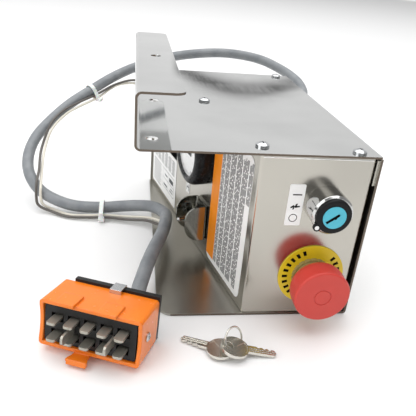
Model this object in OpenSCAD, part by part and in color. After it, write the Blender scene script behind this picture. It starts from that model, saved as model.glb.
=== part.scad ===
// Lower control box of a platform lift: a folded stainless housing under a
// cover bracket, with a stop button, a key switch, an hour meter and a toggle.
// Millimetres, X to the right, Y away from the front, Z up. The origin is on
// the underside of the base, below the middle of the cover plate.

/* [Sheet metal] */
// Thickness of every folded sheet
sheet = 1.5; // [1.2:0.1:2]
// Outer radius of the tight bends
fold_r = 2.5; // [2.4:0.1:3.5]

/* [Cover bracket] */
// Width of the cover plate
plate_w = 160; // [150:1:185]
// Length of the cover plate from front to rear
plate_d = 240; // [230:1:260]
// Height of the web above the underside of the cover plate
web_h = 36.5; // [28:0.5:50]
// Width of the return flange
flange_w = 30; // [24:1:40]
// Outer radius of the two bends of the bracket
bracket_r = 4; // [3.5:0.5:6]
// Radius of the fixing holes
fixing_r = 4; // [3:0.5:5]
// Distance of the fixing holes from the web's outer face
fixing_edge = 11.3; // [10:0.1:13]
// Distance between the two end fixing holes
fixing_pitch = 197.2; // [180:0.2:210]
// Distance of the hanger hole from the web's outer face
hanger_edge = 15.7; // [12:0.1:20]
// Place of the hanger hole along the bracket
hanger_y = -4.5; // [-20:0.5:20]

/* [Housing] */
// Height of the underside of the cover plate
box_h = 125; // [120:1:150]
// Width of the base plate
base_w = 142.4; // [140:0.2:150]
// Distance that the right wall stands outside the cover plate
wall_out = 1; // [0.5:0.5:3]
// Distance that the rear wall stands behind the cover plate
rear_out = 4; // [3:0.5:8]
// Corner radius of the base plate
base_corner_r = 11.5; // [6:0.5:16]
// Depth of the flange on top of the right wall
wall_flange = 12; // [8:1:16]
// Depth of the flange on top of the rear wall
rear_flange = 20; // [16:1:24]

/* [Control panel] */
// Width of the front face of the panel
front_w = 77.5; // [72:0.5:84]
// Distance of the front face behind the edge of the cover plate
front_inset = 1; // [0.5:0.5:4]
// Slot between the panel and the right wall
panel_slot = 2; // [1:0.5:3]
// Angle of the side face from the front-to-rear direction
side_angle = 13.7; // [12:0.1:14]
// Depth of the panel's top flanges
top_flange = 18; // [16:1:22]
// Depth of the panel's bottom flanges
bottom_flange = 14; // [10:1:18]

/* [Stop button] */
// Distance of the front controls from the panel's right edge
control_edge = 30.2; // [28:0.1:34]
// Height of the stop button's centre
stop_z = 35; // [32:0.5:42]
// Radius of the yellow disc
stop_disc_r = 24; // [20:0.5:28]
// Radius of the mushroom cap
stop_cap_r = 19.5; // [17:0.5:22]
// Distance of the cap's face from the panel
stop_reach = 28; // [27:0.5:32]
// Push travel of the cap
stop_travel = 5.5; // [4:0.5:6]
// Radius of the two panel cut-outs
cutout_r = 11.2; // [11.1:0.1:11.5]

/* [Key switch] */
// Height of the key switch's centre
key_z = 91.4; // [86:0.2:100]
// Radius of the bezel
bezel_r = 13.8; // [13.2:0.1:15]
// Height of the bezel above the panel
bezel_h = 17; // [14:0.1:18]
// Radius of the rotor head
rotor_r = 12; // [11:0.1:12.6]
// Height of the rotor head
rotor_h = 2.2; // [1.8:0.1:3]
// Radius of the coloured lock insert
insert_r = 7.8; // [6.5:0.1:8]
// Direction of the pointer at rest, counterclockwise from +X
pointer_angle = 217; // [200:1:230]

/* [Hour meter] */
// Place of the meter along the side face
meter_s = 106.5; // [104:0.5:112]
// Height of the meter's centre
meter_z = 89.5; // [86:0.5:92]
// Radius of the meter's flange
meter_flange_r = 29; // [28:0.5:31]
// Radius of the meter's body
meter_body_r = 26; // [24:0.5:26.5]
// Radius of the glass
meter_glass_r = 21.8; // [20:0.2:22.4]
// Height of the meter's nose above the panel
meter_nose = 13; // [11:0.5:16]
// Depth of the meter's body behind the panel's face
meter_depth = 38; // [32:1:44]

/* [Toggle and guard] */
// Place of the toggle along the side face
toggle_s = 90; // [86:0.5:94]
// Height of the toggle's centre
toggle_z = 34.5; // [32:0.5:38]
// Distance of the lever's tip from the panel
toggle_reach = 22.6; // [20:0.2:26]
// Width of the guard
guard_w = 24; // [20:0.5:28]
// Height of the guard
guard_h = 31; // [28:0.5:34]
// Distance that the guard's legs stand out
guard_out = 19.5; // [17:0.5:23]
// Radius of the guard's upper outer corners
guard_top_r = 11; // [6:0.5:14]
// Radius of the guard's lower outer corners
guard_low_r = 14; // [8:0.5:16]

/* [Labels] */
// Thickness of the labels
label_t = 0.25; // [0.2:0.05:0.5]
// Length of the instruction label along the side face
instruction_w = 66; // [60:1:68]
// Height of the instruction label
instruction_h = 112; // [100:1:114]
// Length of the information label along the side face
info_w = 80; // [70:1:82]
// Height of the information label
info_h = 50; // [45:1:56]

/* [Cords] */
// Diameter of the main cable
cable_d = 11; // [10:0.1:11]
// Diameter of the two thin wires
wire_d = 2.6; // [2:0.1:2.6]
// Height of the gland on the right wall
gland_z = 98; // [94:1:102]
// Place of the gland along the right wall
gland_y = 50; // [40:1:60]

/* [Plug] */
// Width of the plug's shell
plug_w = 68; // [67:0.5:74]
// Depth of the plug's shell
plug_d = 30.5; // [28:0.5:34]
// Height of the plug's shell
plug_h = 32; // [31:0.5:36]
// Wall of the plug's shell
plug_wall = 2.5; // [1.5:0.1:2.6]
// Distance between two columns of blades
blade_pitch = 11; // [10.5:0.1:11.4]
// Width of a blade
blade_w = 6.3; // [5:0.1:6.5]
// Thickness of a blade
blade_t = 1.6; // [0.8:0.1:2]

/* [Keys] */
// Radius of a key's bow
bow_r = 9.5; // [8.5:0.1:10.5]
// Thickness of a key
key_t = 2; // [1.6:0.1:2.2]
// Length of a key from the hole to the tip
key_len = 33; // [30:0.5:36]
// Mean radius of the key ring
ring_r = 8; // [7.6:0.1:8.4]
// Radius of the ring's wire
ring_wire_r = 0.7; // [0.5:0.05:0.8]

/* [Hidden] */
$fn = 64;
gap = 0.3;            // between pieces of different bodies
eps = 0.01;
film = 0.02;          // between faces that lie on each other
over = 1;             // how far a cutter runs past a face

plate_x0 = -plate_w / 2;
front_y = -plate_d / 2 + front_inset;
wall_x = plate_w / 2 + wall_out;
rear_y = plate_d / 2 + rear_out;
base_x0 = wall_x - base_w;
panel_x1 = wall_x - sheet - panel_slot;
panel_x0 = panel_x1 - front_w;
corner_r = 3;
corner_turn = 90 - side_angle;
corner_run = corner_r * tan(corner_turn / 2);
side_len = (rear_y - sheet - 0.9 - front_y) / cos(side_angle);
control_x = panel_x1 - control_edge;
flange_z = box_h - sheet;
inset = 6.2;          // of a cover screw from a panel's face
screw_r = 2.5;
screw_hole_r = 2.65;
nut_r = 3.5;
head_r = 4.7;

// A point on the side face: s along it from the front corner, q outward
function side_point(s, q) = [
    panel_x0 - s * sin(side_angle) - q * cos(side_angle),
    front_y + s * cos(side_angle) - q * sin(side_angle)];

// The four cover screws: by the front corner, front right, on the side
// flange and rear right
SCREWS = [
    [panel_x0 + 2.6, front_y + 13],
    [panel_x1 - 10.5, front_y + inset],
    side_point(121.5, -inset),
    [plate_w / 2 - 13, rear_y - 10.4]];

// Frame of the front face: x to the right, y up, z outward
module on_front(x, z) {
    translate([x, front_y, z]) rotate([90, 0, 0]) children();
}

// Frame of the side face at s along it: y up, z outward
module on_side(s, z) {
    p = side_point(s, 0);
    translate([p[0], p[1], z]) rotate([0, 0, side_angle - 90])
        rotate([90, 0, 0]) children();
}

// Frame whose x runs back along the side face's line, y inward, z up
module side_frame() {
    translate([panel_x0, front_y, 0]) rotate([0, 0, side_angle - 90])
        children();
}

// Sweep a profile drawn in y and z along x
module along_x(x0, x1) {
    translate([x0, 0, 0]) rotate([90, 0, 90]) linear_extrude(x1 - x0)
        children();
}

// Quarter ring of a bend about [cx, cy], in the quadrant of signs sx, sy
module bend(cx, cy, r, sx, sy) {
    translate([cx, cy]) intersection() {
        difference() {
            circle(r);
            circle(r - sheet);
        }
        translate([sx < 0 ? -r : 0, sy < 0 ? -r : 0]) square(r);
    }
}

// Cutter that leaves a convex round corner at [x, y]; the sheet lies on the
// side of the signs sx, sy
module corner_cut(x, y, r, sx, sy) {
    difference() {
        translate([sx > 0 ? x - over : x - r, sy > 0 ? y - over : y - r])
            square(r + over);
        translate([x + sx * r, y + sy * r]) circle(r);
    }
}

// Rounded rectangle from [0, 0] to [w, h]
module round_rect(w, h, r) {
    translate([r, 0]) square([w - 2 * r, h]);
    translate([0, r]) square([w, h - 2 * r]);
    for (x = [r, w - r], y = [r, h - r]) translate([x, y]) circle(r);
}

module tube(r_out, r_in, z0, z1) {
    difference() {
        translate([0, 0, z0]) cylinder(r = r_out, h = z1 - z0);
        translate([0, 0, z0 - over])
            cylinder(r = r_in, h = z1 - z0 + 2 * over);
    }
}

module hexagon(across, h) {
    cylinder(r = across / sqrt(3), h = h, $fn = 6);
}

module bracket_profile() {
    r = bracket_r;
    top = box_h + web_h;
    translate([plate_x0 + r, box_h]) square([plate_w - r, sheet]);
    bend(plate_x0 + r, box_h + r, r, -1, -1);
    translate([plate_x0, box_h + r]) square([sheet, web_h - 2 * r]);
    bend(plate_x0 + r, top - r, r, -1, 1);
    translate([plate_x0 + r, top - sheet]) square([flange_w - r, sheet]);
}

flange_corner_r = 7;
module mounting_bracket() {
    top = box_h + web_h;
    color("lightgray") difference() {
        translate([0, plate_d / 2, 0]) rotate([90, 0, 0])
            linear_extrude(plate_d) bracket_profile();
        for (sy = [-1, 1])
            translate([plate_x0 + fixing_edge, sy * fixing_pitch / 2, box_h - over])
                cylinder(r = fixing_r, h = sheet + 2 * over);
        translate([plate_x0 + hanger_edge, hanger_y, box_h - over])
            cylinder(r = fixing_r, h = web_h + 2 * over);
        for (p = SCREWS)
            translate([p[0], p[1], box_h - over])
                cylinder(r = screw_hole_r, h = sheet + 2 * over);
        translate([0, 0, top - sheet - over]) linear_extrude(sheet + 2 * over)
            for (sy = [-1, 1])
                corner_cut(plate_x0 + flange_w, sy * plate_d / 2,
                           flange_corner_r, -1, -sy);
    }
}

// Right wall with its bottom bend and top flange, in x and z
module wall_profile(flanged) {
    r = fold_r;
    bend(wall_x - r, r, r, 1, -1);
    translate([wall_x - sheet, r]) square([sheet, box_h - 2 * r]);
    if (flanged) {
        bend(wall_x - r, box_h - r, r, 1, 1);
        translate([wall_x - wall_flange, flange_z])
            square([wall_flange - r, sheet]);
    }
}

// Rear wall with its bottom bend and top flange, in y and z
module rear_profile(flanged) {
    r = fold_r;
    bend(rear_y - r, r, r, 1, -1);
    translate([rear_y - sheet, r]) square([sheet, box_h - 2 * r]);
    if (flanged) {
        bend(rear_y - r, box_h - r, r, 1, 1);
        translate([rear_y - rear_flange, flange_z])
            square([rear_flange - r, sheet]);
    }
}

wall_thread_r = 10.1;
grommet_z = 86;
grommet_r = 5;
wire_spread = 5;      // between the two wires in the grommet and the cover
grommet_x = -40;
lap_h = 18;           // the lap inside the wall's front top corner
lap_depth = 10;
module lower_housing() {
    r = fold_r;
    wall_flange_y = [front_y + top_flange + 5, rear_y - rear_flange - 4];
    rear_flange_x = [side_point(side_len, 0)[0] + top_flange, wall_x - 4];
    wall_y1 = rear_y - r - 0.5;
    color("silver") difference() {
        union() {
            translate([base_x0, -plate_d / 2, 0])
                cube([base_w - r, rear_y - r + plate_d / 2, sheet]);
            translate([0, wall_y1, 0]) rotate([90, 0, 0])
                linear_extrude(wall_y1 + plate_d / 2) wall_profile(false);
            translate([0, wall_flange_y[1], 0]) rotate([90, 0, 0])
                linear_extrude(wall_flange_y[1] - wall_flange_y[0])
                    wall_profile(true);
            translate([wall_x - sheet, -plate_d / 2, box_h - 2 * r])
                cube([sheet, wall_flange_y[0] + plate_d / 2 - 1, 2 * r - gap]);
            translate([panel_x1 + gap, front_y + gap, flange_z - lap_h])
                cube([panel_slot - gap + eps, lap_depth, lap_h]);
            along_x(base_x0 + 1, wall_x - r - 0.5) rear_profile(false);
            along_x(rear_flange_x[0], rear_flange_x[1] - wall_flange / 2)
                rear_profile(true);
        }
        translate([0, 0, -over]) linear_extrude(sheet + 2 * over)
            corner_cut(base_x0, -plate_d / 2, base_corner_r, 1, 1);
        translate([wall_x, gland_y, gland_z]) rotate([0, 90, 0])
            translate([0, 0, -sheet - over])
                cylinder(r = wall_thread_r, h = sheet + 2 * over);
        translate([grommet_x, rear_y + over, grommet_z]) rotate([90, 0, 0])
            cylinder(r = grommet_r - 1, h = sheet + 2 * over);
        translate([SCREWS[3][0], SCREWS[3][1], flange_z - over])
            cylinder(r = screw_hole_r, h = sheet + 2 * over);
        for (p = RIVETS) translate([p[0], p[1], -over])
            cylinder(r = rivet_r, h = sheet + 2 * over);
    }
}

// Panel wall with its top and bottom bends and flanges, in y and z
panel_z0 = sheet;     // the panel stands on the base plate
module panel_profile() {
    r = fold_r;
    bend(r, panel_z0 + r, r, -1, -1);
    translate([r, panel_z0]) square([bottom_flange - r, sheet]);
    translate([0, panel_z0 + r])
        square([sheet - film, box_h - panel_z0 - 2 * r]);
    bend(r, box_h - r, r, -1, 1);
    translate([r, flange_z]) square([top_flange - r, sheet]);
}

rivet_r = 1.6;
RIVETS = concat(
    [for (x = [panel_x0 + 16, panel_x1 - 12]) [x, front_y + 9]],
    [for (s = [30, side_len / 2, side_len - 40]) side_point(s, -9)]);
side_start = 20;      // where the side flanges begin
side_stop = 24;       // how far before the rear end they stop
edge_flange = 12;     // the upright flanges at both ends of the panel
function arc(c, r, a0, a1, n = 6) = [for (i = [0:n])
    let(a = a0 + (a1 - a0) * i / n) c + r * [cos(a), sin(a)]];

// Plan of the panel's wall: outer line from the right flange round to the
// rear flange, then the inner line back
module panel_plan() {
    turn = -90 - corner_turn;
    right = [panel_x1 - corner_r, front_y + corner_r];
    left = [panel_x0 + corner_run, front_y + corner_r];
    rear = side_point(side_len, 0);
    in_r = corner_r - sheet;
    in_len = side_len - sheet * (1 + sin(side_angle)) / cos(side_angle);
    polygon(concat(
        [side_point(in_len, -sheet)], arc(left, in_r, turn, -90),
        arc(right, in_r, -90, 0), [[panel_x1 - sheet, front_y + edge_flange]],
        [[panel_x1, front_y + edge_flange]], arc(right, corner_r, 0, -90),
        arc(left, corner_r, -90, turn), [rear],
        [rear + [edge_flange, 0], rear + [edge_flange, -sheet]]));
}
module control_panel() {
    wall_z0 = panel_z0 + gap;
    wall_h = box_h - panel_z0 - 2 * gap;
    color("gainsboro") difference() {
        union() {
            translate([0, 0, wall_z0]) linear_extrude(wall_h) panel_plan();
            translate([0, front_y + film, 0])
                along_x(panel_x0 + corner_run + 1, panel_x1 - corner_r - 1)
                    panel_profile();
            side_frame() translate([0, film, 0])
                along_x(-side_len + side_stop, -side_start) panel_profile();
        }
        for (z = [stop_z, key_z]) on_front(control_x, z)
            translate([0, 0, -sheet - over])
                cylinder(r = cutout_r, h = sheet + 2 * over);
        on_side(meter_s, meter_z) translate([0, 0, -sheet - over])
            cylinder(r = meter_body_r + 0.2, h = sheet + 2 * over);
        on_side(toggle_s, toggle_z) translate([0, 0, -sheet - over])
            cylinder(r = bushing_r + 0.2, h = sheet + 2 * over);
        for (i = [0:2]) translate([SCREWS[i][0], SCREWS[i][1], flange_z - over])
            cylinder(r = screw_hole_r, h = sheet + 2 * over);
        for (p = RIVETS) translate([p[0], p[1], panel_z0 - over])
            cylinder(r = rivet_r, h = sheet + 2 * over);
    }
}

// Pan head screw with a cross recess, from the cover plate down
screw_len = 9;
head_h = 3;
module pan_screw(r, hr, hh, len) {
    difference() {
        union() {
            cylinder(r = hr, h = hh * 0.45);
            intersection() {
                translate([0, 0, hh - hr * 1.6]) sphere(r = hr * 1.6);
                cylinder(r = hr, h = hh);
            }
            translate([0, 0, -len]) cylinder(r = r, h = len + eps);
        }
        for (a = [0, 90]) rotate([0, 0, a])
            translate([-hr * 0.5, -hr * 0.1, hh * 0.5]) cube([hr, hr * 0.2, hh]);
    }
}

module bracket_screws() {
    color("whitesmoke") for (p = SCREWS)
        translate([p[0], p[1], box_h + sheet])
            pan_screw(screw_r, head_r, head_h, screw_len);
}

module clinch_nuts() {
    color("silver") for (p = SCREWS)
        translate([p[0], p[1], 0])
            tube(nut_r, screw_r + 0.05, flange_z - 4, flange_z);
}

module housing_rivets() {
    color("silver") for (p = RIVETS) translate([p[0], p[1], 0.2]) {
        cylinder(r = rivet_r - 0.05, h = 2 * sheet + 1);
        translate([0, 0, 2 * sheet - 0.2]) cylinder(r = rivet_r + 1, h = 1.2);
    }
}

// Labels on the side face, from s0 to s1 along it and from z0 up
module side_label(s0, w, z0, h, r) {
    on_side(s0 + w, z0) translate([0, 0, film]) linear_extrude(label_t)
        round_rect(w, h, r);
}

instruction_s = 8;
module instruction_label() {
    color("white") side_label(instruction_s, instruction_w, 7, instruction_h, 6);
}

info_s = 163;
module info_label() {
    color("white") side_label(info_s, info_w, 6, info_h, 1.5);
    color("black") side_label(info_s, info_w - 30, 6.5 + info_h, 22, 1.5);
}

icon_w = 9;
icon_h = 11;
icon_z = 40;
module icon_label() {
    color("white") side_label(meter_s + 18, icon_w, icon_z, icon_h, 1.2);
}

legend_w = 11;
legend_h = 30.5;
module key_legend() {
    color("white")
        on_front(control_x - bezel_r - 1.2 - legend_w, key_z - legend_h / 2 - 1)
            translate([0, 0, film]) linear_extrude(label_t)
                round_rect(legend_w, legend_h, 1);
}

barrel_r = cutout_r - 0.2;
barrel_back = 18;     // how far a barrel reaches behind the panel's face
stem_r = 5;
disc_t = 1;
module stop_disc() {
    color("gold") on_front(control_x, stop_z)
        tube(stop_disc_r, barrel_r + 0.2, 0, disc_t);
}

collar_r = 12.6;
collar_top = 9;
collar_flange_r = 14.3;
module stop_collar() {
    color("olive") on_front(control_x, stop_z) difference() {
        union() {
            translate([0, 0, -barrel_back]) cylinder(r = barrel_r, h = barrel_back + 2);
            translate([0, 0, disc_t]) cylinder(r = collar_flange_r, h = 2.5);
            translate([0, 0, disc_t]) cylinder(r = collar_r, h = collar_top - disc_t);
        }
        for (i = [0:17]) rotate([0, 0, i * 20])
            translate([collar_flange_r + 0.2, 0, disc_t - over])
                cylinder(r = 0.8, h = 5, $fn = 16);
        translate([0, 0, -barrel_back - over])
            cylinder(r = stem_r + 0.08, h = barrel_back + collar_top + 2 * over);
    }
}

// Mushroom cap with its stem: a revolve, hollow over the collar
cap_back = 9.5;
cap_bulge = 7.5;      // depth in which the back swells to the full radius
cap_floor = collar_top + stop_travel + 0.8;
stem_back = 15;
module stop_cap() {
    r = stop_cap_r;
    q = stop_reach;
    rim = 1.6;
    neck = collar_flange_r - 0.1;
    inner = collar_r + 0.6;
    flare = [for (a = [0:15:90])
        [neck + (r - neck) * sin(a), cap_back + cap_bulge * (1 - cos(a))]];
    edge = [for (a = [0:15:90])
        [r - rim + rim * cos(a), q - rim - 0.2 + rim * sin(a)]];
    color("tomato") on_front(control_x, stop_z)
        rotate_extrude($fn = 72) polygon(concat(
            [[0, -stem_back], [stem_r, -stem_back], [stem_r, cap_floor],
             [inner, cap_floor], [inner, cap_back]],
            flare, edge,
            [[r * 0.32, q], [r * 0.31, q - 0.4], [r * 0.28, q - 0.4],
             [r * 0.27, q], [0, q]]));
}

lock_nut_t = 5;
module barrel_nut() {
    translate([0, 0, -sheet - lock_nut_t]) difference() {
        hexagon(28, lock_nut_t);
        translate([0, 0, -over]) cylinder(r = barrel_r, h = lock_nut_t + 2 * over);
    }
}

module stop_nut() {
    color("silver") on_front(control_x, stop_z) barrel_nut();
}

module key_nut() {
    color("silver") on_front(control_x, key_z) barrel_nut();
}

// Switch block clipped on the barrel's end, with its terminals
contact_w = 26;
contact_h = 34;
module contact_block(count) {
    z1 = -barrel_back;
    difference() {
        union() {
            translate([-contact_w / 2, -contact_h / 2, z1 - 8])
                cube([contact_w, contact_h, 8]);
            for (i = [0:count - 1])
                translate([-contact_w / 2 + 1 + i * 12.3, -contact_h / 2 + 1, z1 - 28])
                    cube([11.5, contact_h - 2, 20 + eps]);
        }
        translate([0, 0, z1 - 8]) cylinder(r = stem_r + 3.2, h = 8 + over);
        for (i = [0:count - 1], y = [-1, 1])
            translate([-contact_w / 2 + 6.75 + i * 12.3, y * (contact_h / 2 - 5), z1 - 28 - over])
                cylinder(r = 2.4, h = 3 + over);
    }
}

module stop_contacts() {
    color("dimgray") on_front(control_x, stop_z) contact_block(2);
}

module key_contacts() {
    color("dimgray") on_front(control_x, key_z) contact_block(2);
}

rotor_stem_r = 9.2;
module key_bezel() {
    chamfer = 1.2;
    color("silver") on_front(control_x, key_z) rotate_extrude() polygon([
        [rotor_stem_r + gap, -barrel_back], [barrel_r, -barrel_back],
        [barrel_r, 0], [bezel_r, 0], [bezel_r, bezel_h - chamfer],
        [bezel_r - chamfer, bezel_h], [rotor_stem_r + gap, bezel_h]]);
}

recess_d = 5;
pointer_at = 12.7;    // the pointer's nub, from the rotor's axis
pointer_r = 2.6;
module key_rotor() {
    q0 = bezel_h + gap;
    q1 = q0 + rotor_h;
    round_r = 1.2;
    edge = [for (a = [0:18:90])
        [rotor_r - round_r + round_r * cos(a), q1 - round_r + round_r * sin(a)]];
    color("#222222") on_front(control_x, key_z) difference() {
        union() {
            rotate_extrude() polygon(concat(
                [[0, -barrel_back + 1], [rotor_stem_r, -barrel_back + 1],
                 [rotor_stem_r, q0], [rotor_r, q0]], edge, [[0, q1]]));
            rotate([0, 0, pointer_angle]) translate([pointer_at, 0, q0])
                cylinder(r = pointer_r, h = rotor_h - 0.3);
        }
        translate([0, 0, q1 - recess_d])
            cylinder(r = insert_r + 0.05, h = recess_d + over);
    }
}

slot_w = 1.4;
slot_len = 8;
module lock_insert() {
    q1 = bezel_h + gap + rotor_h + 0.4;
    color("deepskyblue") on_front(control_x, key_z) difference() {
        translate([0, 0, q1 - recess_d - 0.4])
            cylinder(r = insert_r, h = recess_d + 0.4);
        rotate([0, 0, pointer_angle]) translate([-slot_len / 2, -slot_w / 2, q1 - 4])
            cube([slot_len, slot_w, 4 + over]);
    }
}

// Round meter: body through the panel, moulded flange and stepped nose
lens_t = 1.5;
dial_t = 1;
module meter_housing() {
    n = meter_nose;
    f = meter_flange_r;
    lip = meter_glass_r + 1;
    sweep = f - lip;
    shoulder = [for (a = [0:15:90])
        [lip + sweep * cos(a), n - sweep + sweep * sin(a)]];
    color("#262626") on_side(meter_s, meter_z) rotate_extrude($fn = 72)
        polygon(concat(
            [[0, -meter_depth], [meter_body_r, -meter_depth],
             [meter_body_r, film], [f, film]],
            shoulder,
            [[meter_glass_r + 0.05, n],
             [meter_glass_r + 0.05, n - lens_t - dial_t - 1],
             [0, n - lens_t - dial_t - 1]]));
}

module meter_dial() {
    color("white") on_side(meter_s, meter_z)
        translate([0, 0, meter_nose - lens_t - dial_t - 1])
            cylinder(r = meter_glass_r - 0.2, h = dial_t, $fn = 72);
}

module meter_lens() {
    color("lightcyan") on_side(meter_s, meter_z)
        translate([0, 0, meter_nose - lens_t - 1])
            cylinder(r = meter_glass_r, h = lens_t + 0.8, $fn = 72);
}

// Clamp strap behind the meter, drawn to the panel by two studs
strap_w = 12;
strap_leg = meter_body_r + 4;
stud_r = 2;
stud_at = 12;
module meter_clamp() {
    color("silver") on_side(meter_s, meter_z) {
        difference() {
            union() {
                translate([-strap_w / 2, -strap_leg - sheet, -meter_depth - 2 * sheet])
                    cube([strap_w, 2 * (strap_leg + sheet), sheet]);
                for (y = [-strap_leg - sheet, strap_leg])
                    translate([-strap_w / 2, y, -meter_depth - 2 * sheet])
                        cube([strap_w, sheet, meter_depth + sheet]);
            }
            for (y = [-1, 1]) translate([0, y * stud_at, -meter_depth - 2 * sheet - over])
                cylinder(r = stud_r + 0.2, h = sheet + 2 * over);
        }
    }
}

module meter_nuts() {
    color("whitesmoke") on_side(meter_s, meter_z)
        for (y = [-1, 1]) translate([0, y * stud_at, 0]) {
            translate([0, 0, -meter_depth - 10]) cylinder(r = stud_r, h = 10);
            translate([0, 0, -meter_depth - 2 * sheet - 3.2]) hexagon(7, 3.2);
        }
}

// Guard: a channel on the side face, its two legs rounded
bushing_r = 5.9;
module guard_profile() {
    r = 3;
    w = guard_w / 2;
    for (s = [-1, 1]) {
        translate([s > 0 ? w - sheet : -w, r]) square([sheet, guard_out - r]);
        bend(s * (w - r), r, r, s, -1);
    }
    translate([r - w, 0]) square([guard_w - 2 * r, sheet]);
}

module toggle_guard() {
    color("silver") on_side(toggle_s, toggle_z) translate([0, 0, film]) difference() {
        translate([0, guard_h / 2, 0]) rotate([90, 0, 0])
            linear_extrude(guard_h) guard_profile();
        translate([0, 0, -over]) cylinder(r = bushing_r + 0.2, h = sheet + 2 * over);
        translate([guard_w / 2 + over, 0, 0]) rotate([0, -90, 0])
            linear_extrude(guard_w + 2 * over) {
                corner_cut(guard_out, guard_h / 2, guard_top_r, -1, -1);
                corner_cut(guard_out, -guard_h / 2, guard_low_r, -1, 1);
            }
    }
}

pivot_q = 4;
ball_r = 3.4;
module toggle_body() {
    top = 9;
    color("silver") on_side(toggle_s, toggle_z) difference() {
        union() {
            translate([0, 0, -sheet - eps]) cylinder(r = bushing_r, h = top + sheet);
            translate([-9, -15, -sheet - 24]) cube([18, 30, 24]);
            for (y = [-9, 0, 9]) translate([-3, y - 0.4, -sheet - 32])
                cube([6, 0.8, 8 + eps]);
        }
        translate([0, 0, -4]) cylinder(r = ball_r + gap, h = top + 4 + over);
        translate([0, 0, pivot_q]) cylinder(r1 = ball_r + gap, r2 = 4.6, h = top - pivot_q + eps);
    }
}

module toggle_nut() {
    color("silver") on_side(toggle_s, toggle_z) translate([0, 0, sheet + 2 * film])
        difference() {
            hexagon(14, 2.5);
            translate([0, 0, -over]) cylinder(r = bushing_r + 0.05, h = 4.5);
        }
}

module toggle_lever() {
    tip_r = 1.8;
    neck_r = 1.25;
    q1 = toggle_reach - pivot_q;
    dome = [for (a = [0:15:90]) [tip_r * cos(a), q1 - tip_r + tip_r * sin(a)]];
    ball = [for (a = [-60:15:60]) [ball_r * cos(a), ball_r * sin(a)]];
    color("gainsboro") on_side(toggle_s, toggle_z) translate([0, 0, pivot_q])
        rotate_extrude($fn = 32) polygon(concat(
            [[0, -6], [1, -6]], ball, [[neck_r, 4.2]], dome));
}

// Elbow gland: hexagon on the wall, elbow towards the rear, dome nut
elbow_r = 10.5;
elbow_x = wall_x + 17;
nut_start = 12;       // from the elbow's axis to the dome nut
dome_y1 = gland_y + 26;
module gland_elbow() {
    color("dimgray") translate([wall_x, gland_y, gland_z]) {
        rotate([0, 90, 0]) {
            hexagon(24, 5);
            cylinder(r = elbow_r, h = elbow_x - wall_x);
            tube(wall_thread_r - 0.2, 7, -sheet - 9, eps);
        }
        translate([elbow_x - wall_x, 0, 0]) {
            sphere(r = elbow_r);
            rotate([-90, 0, 0]) cylinder(r = elbow_r - 0.5, h = nut_start);
        }
    }
}

module gland_dome_nut() {
    r = 12;
    n = dome_y1 - gland_y - nut_start;
    nose = cable_d / 2 + 1.5;
    dome = [for (a = [0:15:90]) [nose + (r - nose - 0.6) * cos(a), n - 7 + 7 * sin(a)]];
    color("dimgray") translate([elbow_x, gland_y + nut_start, gland_z])
        rotate([-90, 0, 0]) {
            rotate_extrude($fn = 48) polygon(concat([[0, 0], [r - 0.6, 0]], dome, [[0, n]]));
            rotate([0, 0, 30]) hexagon(23, n - 8);
        }
}

module gland_locknut() {
    color("silver") translate([wall_x - sheet, gland_y, gland_z])
        rotate([0, -90, 0]) difference() {
            hexagon(26, 4);
            translate([0, 0, -over]) cylinder(r = wall_thread_r - 0.15, h = 4 + 2 * over);
        }
}

// Rubber grommet that the two thin wires leave through
module wire_grommet() {
    color("#202020") translate([grommet_x, rear_y, grommet_z])
        rotate([-90, 0, 0]) {
            cylinder(r = grommet_r + 1, h = 2);
            translate([0, 0, -sheet - eps]) cylinder(r = grommet_r - 1.05, h = sheet + 2 * eps);
            translate([0, 0, -sheet - 1.5]) cylinder(r = grommet_r + 0.5, h = 1.5);
        }
}

// Cord routes, from the box to the plug
CABLE = [[98, 76, 98], [98, 92, 98], [101, 112, 99], [107, 134, 101],
    [113, 156, 104], [112, 176, 109], [105, 194, 114], [93, 208, 119],
    [77, 219, 124], [56, 227, 127], [29, 231, 128], [0, 230, 126],
    [-30, 224, 122], [-58, 214, 116], [-83, 201, 109], [-106, 186, 100],
    [-128, 168, 89], [-149, 148, 78], [-166, 127, 66], [-179, 105, 54],
    [-184, 84, 42], [-181, 65, 30], [-170, 51, 19], [-154, 43, 12],
    [-134, 38, 8], [-109, 36, 8], [-92, 35, 10], [-77, 31, 13], [-63, 24, 16],
    [-54, 12, 18], [-50, -4, 21], [-52, -24, 23], [-56, -44, 24],
    [-62, -64, 24], [-68, -84, 22], [-73, -102, 18], [-77, -118, 15],
    [-81, -127, 16]];
LIGHT_WIRE = [[-38, 126, 86], [-38, 136, 86], [-46, 150, 88], [-58, 165, 92],
    [-77, 180, 96], [-100, 185, 92], [-121, 167, 81], [-139, 146, 76],
    [-152, 131, 71], [-164, 111, 61], [-170, 94, 44], [-169, 64, 31],
    [-167, 44, 25], [-167, 40, 16], [-165, 40, 8], [-156, 40, 3],
    [-140, 31, 2], [-122, 28, 3], [-105, 27, 4], [-86, 23, 5], [-67, 16, 8],
    [-56, 5, 11], [-50, -8, 13], [-51, -24, 15], [-61, -64, 16],
    [-67, -84, 14], [-75, -115, 7], [-78, -125, 6], [-81, -132, 7]];
DARK_WIRE = [[-43, 126, 86], [-43, 136, 86], [-49, 150, 91], [-61, 165, 96],
    [-79, 180, 100], [-101, 181, 94], [-122, 166, 85], [-140, 147, 80],
    [-154, 132, 75], [-165, 114, 66], [-173, 94, 45], [-171, 62, 34],
    [-171, 46, 28], [-171, 40, 17], [-169, 38, 8], [-158, 36, 3],
    [-141, 27, 2], [-122, 24, 3], [-105, 23, 4], [-86, 19, 4], [-68, 12, 7],
    [-58, 2, 9], [-54, -8, 14], [-55, -25, 16], [-65, -65, 17],
    [-71, -85, 15], [-80, -114, 8], [-83, -123, 6], [-86, -131, 7]];

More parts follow.
